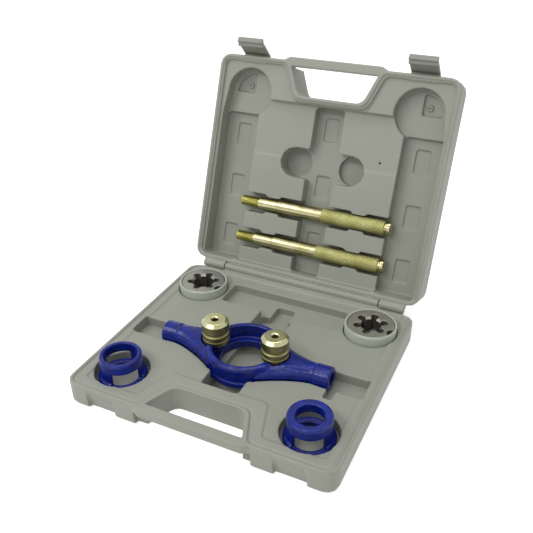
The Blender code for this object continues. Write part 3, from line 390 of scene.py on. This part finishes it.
def makeHandle(node, name):
    low, high = boxOf(node)
    origin = Vector((low.x, (low.y + high.y) / 2, (low.z + high.z) / 2))
    h = handle
    shank = h["threadLength"]
    body = shank + h["shankLength"]
    grip = body + h["bodyLength"]
    neck = grip + h["gripLength"]
    end = high.x - low.x
    threadEnd = shank - h["reliefLength"]
    gripStart = grip + h["gripLead"]
    gripEnd = neck - h["taper"]
    reliefRadius = h["threadRadius"] - h["reliefDepth"]
    neckRadius = h["gripRadius"] - h["neckDepth"]
    endRadius = h["gripRadius"] - h["endInset"]

    profile = [(0, 0), (0, h["threadRadius"] - h["tipInset"])]
    for place in ringPlaces(h["tipLength"], threadEnd, h["threadRing"]):
        profile.append((place, h["threadRadius"]))
    profile += [
        (threadEnd + h["reliefFlank"], reliefRadius), (shank - h["step"], reliefRadius),
        (shank, h["shankRadius"] - h["shoulder"]), (shank + h["shoulder"], h["shankRadius"]),
        (body, h["shankRadius"]), (body + h["taper"], h["bodyRadius"]),
        (grip - h["step"], h["bodyRadius"])]
    for place in ringPlaces(gripStart, gripEnd, h["gripRing"]):
        profile.append((place, h["gripRadius"]))
    profile += [
        (neck + h["neckStart"], neckRadius), (neck + h["neckEnd"], neckRadius),
        (neck + h["endStart"], endRadius), (end - h["domeLength"], endRadius)]
    for t in h["domeAngles"]:
        profile.append((end - h["domeLength"] * (1 - sin(t)),
                        endRadius * (h["domeFlat"] + (1 - h["domeFlat"]) * cos(t))))
    profile.append((end, 0))
    bm = turnedShape(profile, origin, (1, 0, 0), h["steps"])

    margin = h["margin"]
    threadLead = h["tipLength"] - margin
    knurlStarts = round(2 * pi * h["gripRadius"] / h["knurlPitch"]) / (2 * pi)
    for vert in bm.verts:
        along = vert.co.x - origin.x
        spoke = Vector((0, vert.co.y - origin.y, vert.co.z - origin.z))
        if spoke.length < mm:  # middle of an end
            continue
        turn = atan2(spoke.z, spoke.y)
        sink = 0.0
        if threadLead < along < threadEnd + margin:
            ramp = min(1.0, (along - threadLead) / h["threadPitch"])
            phase = along / h["threadPitch"] - turn / (2 * pi)
            sink = ramp * h["threadDepth"] * abs(2 * (phase - floor(phase)) - 1)
        elif gripStart - margin < along < gripEnd + margin:
            across = along / h["knurlPitch"]
            left = abs(sin(pi * (turn * knurlStarts + across)))
            right = abs(sin(pi * (turn * knurlStarts - across)))
            sink = h["knurlDepth"] * (1 - min(left, right))
        vert.co -= spoke.normalized() * sink
    for face in bm.faces:
        along = face.calc_center_median().x - origin.x
        if along < shank - h["step"]:
            face.material_index = 1
        elif grip < along < neck:
            face.material_index = 2
    addPiece(name, bm, [rodZinc, threadZinc, gripZinc], node, [node],
             h["sharpAngle"])


makeHandle("handle_upper", "handleUpper")
makeHandle("handle_lower", "handleLower")
print("handles made")


# Clamps: a grooved collar with a spigot under a chamfered nut, both turned on a lathe
clamp = {
    "bore": 3.5 * mm, "edge": 0.7 * mm, "spigot": 1.2 * mm, "groove": 1.2 * mm,
    "grooveFloor": 0.3 * mm, "grooveDepth": 0.98 * mm, "chamfer": 2.6 * mm, "hole": 2.6 * mm,
    "holeEdge": 1.05 * mm, "holeDepth": 4.2 * mm, "holeMargin": 0.1 * mm, "topFacing": 0.3,
    "flat": 0.22 * mm, "flatShare": 0.3, "sharpAngle": 18, "steps": 96}


# Each corner of a turned profile gets a small flat at half its angle
def brokenEdges(profile):
    points = [Vector(point) for point in profile]
    broken = []
    for i, point in enumerate(points):
        before = points[i - 1] - point
        after = points[(i + 1) % len(points)] - point
        for way in (before, after):
            reach = min(clamp["flat"], clamp["flatShare"] * way.length)
            broken.append(tuple(point + way.normalized() * reach))
    return broken


def makeClamp(side):
    collar = "clamp_collar_" + side
    low, high = boxOf(collar)
    axisPoint = footOf(low, high)
    radius = (high.y - low.y) / 2
    tall = high.z - low.z
    inner = clamp["bore"]
    edge = clamp["edge"]
    band = tall - clamp["spigot"]
    spigotRadius = radius - clamp["spigot"]
    middle = band / 2
    mouth = clamp["groove"] / 2
    bottom = clamp["grooveFloor"] / 2
    grooveRadius = radius - clamp["grooveDepth"]
    profile = [
        (0, inner), (0, radius - edge), (edge, radius), (middle - mouth, radius),
        (middle - bottom, grooveRadius), (middle + bottom, grooveRadius),
        (middle + mouth, radius), (band - edge, radius), (band, radius - edge),
        (band, spigotRadius), (tall, spigotRadius), (tall, inner)]
    bm = turnedShape(brokenEdges(profile), axisPoint, (0, 0, 1), clamp["steps"], closed=True)
    # the whole collar takes the darker zinc copy: painted shade
    addPiece("clampCollar" + side.title(), bm, [shadedZinc], collar, [collar],
             clamp["sharpAngle"])

    nut = "clamp_nut_" + side
    low, high = boxOf(nut)
    axisPoint.z = low.z
    tall = high.z - low.z
    hole = clamp["hole"]
    cap = tall - clamp["holeDepth"]
    profile = [
        (0, inner), (0, radius - edge), (edge, radius), (tall - clamp["chamfer"], radius),
        (tall, radius - clamp["chamfer"]), (tall, hole + clamp["holeEdge"]),
        (tall - clamp["holeEdge"], hole), (cap, hole), (cap, inner)]
    bm = turnedShape(brokenEdges(profile), axisPoint, (0, 0, 1), clamp["steps"], closed=True)
    # painted shade: the hole takes the darkest zinc and the sides the darker one, while the top
    # and chamfer keep the pale zinc
    for face in bm.faces:
        spot = face.calc_center_median() - axisPoint
        if hypot(spot.x, spot.y) < hole + clamp["holeMargin"]:
            face.material_index = 1
        elif face.normal.z <= clamp["topFacing"]:
            face.material_index = 2
    addPiece("clampNut" + side.title(), bm, [knobZinc, holeShadeZinc, shadedZinc], nut,
             [nut], clamp["sharpAngle"])
    coat("clamp_stud_" + side, threadZinc)


for side in sides:
    makeClamp(side)
print("clamps made")

# Dies in their cups: the face keeps the ground steel, and the flutes and lands take darker
# steels, painted shade in the die's hole
die = {"cell": 0.3 * mm, "rounds": 4, "landReach": 11.2 * mm, "landFacing": -0.8,
       "topFacing": 0.6}
cup = {"wall": 1.8 * mm, "lip": 3.0 * mm, "floor": 1.2 * mm, "edge": 0.7 * mm,
       "edgeMiddle": 0.21 * mm, "innerEdge": 0.28 * mm, "sharpAngle": 40, "steps": 96}
for side in sides:
    node = "die_" + side
    bm = softened(node, die["cell"], die["rounds"])
    bm.normal_update()
    axisPoint = footOf(*boxOf(node))
    for face in bm.faces:
        spot = face.calc_center_median() - axisPoint
        across = Vector((spot.x, spot.y, 0))
        facing = face.normal.dot(across.normalized())
        # faces that don't face up are painted darker: painted shade on the flute walls and a
        # deeper one on the thread lands
        if face.normal.z <= die["topFacing"]:
            land = across.length < die["landReach"] and facing < die["landFacing"]
            face.material_index = 2 if land else 1
        else:
            face.material_index = 0
    addPiece("die" + side.title(), bm, [dieFace, fluteShadeSteel, landShadeSteel], node, [node])

    low, high = boxOf("die_cup_" + side)
    radius = (high.x - low.x) / 2
    tall = high.z - low.z
    inner = radius - cup["wall"]
    lip = inner - cup["lip"]
    edge = cup["edge"]
    nick = cup["edgeMiddle"]
    profile = [
        (0, lip), (0, radius - edge), (nick, radius - nick), (edge, radius),
        (tall - edge, radius), (tall - nick, radius - nick), (tall, radius - edge),
        (tall, inner + cup["innerEdge"]), (tall - cup["innerEdge"], inner),
        (cup["floor"], inner), (cup["floor"], lip)]
    bm = turnedShape(profile, footOf(low, high), (0, 0, 1), cup["steps"], closed=True)
    addPiece("dieCup" + side.title(), bm, [cupSkin], node, ["die_cup_" + side],
             cup["sharpAngle"])
print("dies made")


# Floor, light and camera

# 1 for what the camera sees, straight or by way of a shine or a clear piece
def backdropRays(tree):
    path = addNode(tree, "ShaderNodeLightPath").outputs
    first = addNode(tree, "ShaderNodeMath", {},
                    {0: path["Is Camera Ray"], 1: path["Is Glossy Ray"]}, operation="ADD")
    every = addNode(tree, "ShaderNodeMath", {},
                    {0: first.outputs[0], 1: path["Is Transmission Ray"]},
                    operation="ADD", use_clamp=True)
    return every.outputs[0]


white = (1, 1, 1, 1)
studio = {"floorSize": 6.0, "floorDrop": 0.2 * mm, "floorColour": "#f4f4f4", "floorGlow": 0.6,
          "worldLight": 0.55}
bm = bmesh.new()
bmesh.ops.create_grid(bm, x_segments=1, y_segments=1, size=studio["floorSize"] / 2)
bmesh.ops.translate(bm, verts=bm.verts, vec=(0, 0, -studio["floorDrop"]))
floorMesh = bpy.data.meshes.new("studioFloor")
bm.to_mesh(floorMesh)
bm.free()
studioFloor = bpy.data.objects.new("studioFloor", floorMesh)
bpy.context.collection.objects.link(studioFloor)
# matt backdrop paper: the glow makes it white to the camera and leaves the shadow on it
floorSkin, tree, principled, _ = newMaterial("floorPaper", {
    "Base Color": linear(studio["floorColour"]), "Roughness": 0.9, "Specular IOR Level": 0.1,
    "Emission Color": white})
glow = addNode(tree, "ShaderNodeMath", {1: studio["floorGlow"]}, {0: backdropRays(tree)},
               operation="MULTIPLY")
tree.links.new(glow.outputs[0], principled.inputs["Emission Strength"])
floorMesh.materials.append(floorSkin)

world = bpy.data.worlds.new("studioWorld")
bpy.context.scene.world = world
world.use_nodes = True
tree = world.node_tree
background = tree.nodes["Background"]
background.inputs["Color"].default_value = white
level = addNode(tree, "ShaderNodeMapRange", {"To Min": studio["worldLight"], "To Max": 1.0},
                {"Value": backdropRays(tree)})
tree.links.new(level.outputs["Result"], background.inputs["Strength"])

# two long soft boxes: one in front, one above that draws the streak on the rods
lamps = {
    "keyLamp": {"place": (-0.45, -0.85, 1.15), "size": 1.4, "depth": 0.3, "power": 8.8},
    "topLamp": {"place": (-0.05, 0.08, 1.3), "size": 1.6, "depth": 0.15, "power": 4.6}}
lampAim = Vector((0, 0.02, 0.05))
for name, lamp in lamps.items():
    light = bpy.data.lights.new(name, "AREA")
    light.shape = "RECTANGLE"
    light.size = lamp["size"]
    light.size_y = lamp["depth"]
    light.energy = lamp["power"]
    holder = bpy.data.objects.new(name, light)
    bpy.context.collection.objects.link(holder)
    holder.location = lamp["place"]
    holder.rotation_euler = (lampAim - holder.location).to_track_quat("-Z", "Y").to_euler()

camera = {"place": (0.21158, -0.39872, 0.37560), "azimuth": 26.06, "elevation": 31.29,
          "roll": -0.75, "lens": 45.58, "sensor": 36.0, "nearest": 0.01}
lens = bpy.data.cameras.new("photoCamera")
lens.lens = camera["lens"]
lens.sensor_width = camera["sensor"]
lens.clip_start = camera["nearest"]
cameraHolder = bpy.data.objects.new("photoCamera", lens)
bpy.context.collection.objects.link(cameraHolder)
turn = radians(camera["azimuth"])
tilt = radians(camera["elevation"])
roll = Matrix.Rotation(radians(camera["roll"]), 3, "Z")
look = Vector((-sin(turn) * cos(tilt), cos(turn) * cos(tilt), -sin(tilt)))
facing = look.to_track_quat("-Z", "Y").to_matrix() @ roll
cameraHolder.matrix_world = Matrix.Translation(camera["place"]) @ facing.to_4x4()
scene = bpy.context.scene
scene.camera = cameraHolder
scene.view_settings.view_transform = "Standard"
print("studio set")
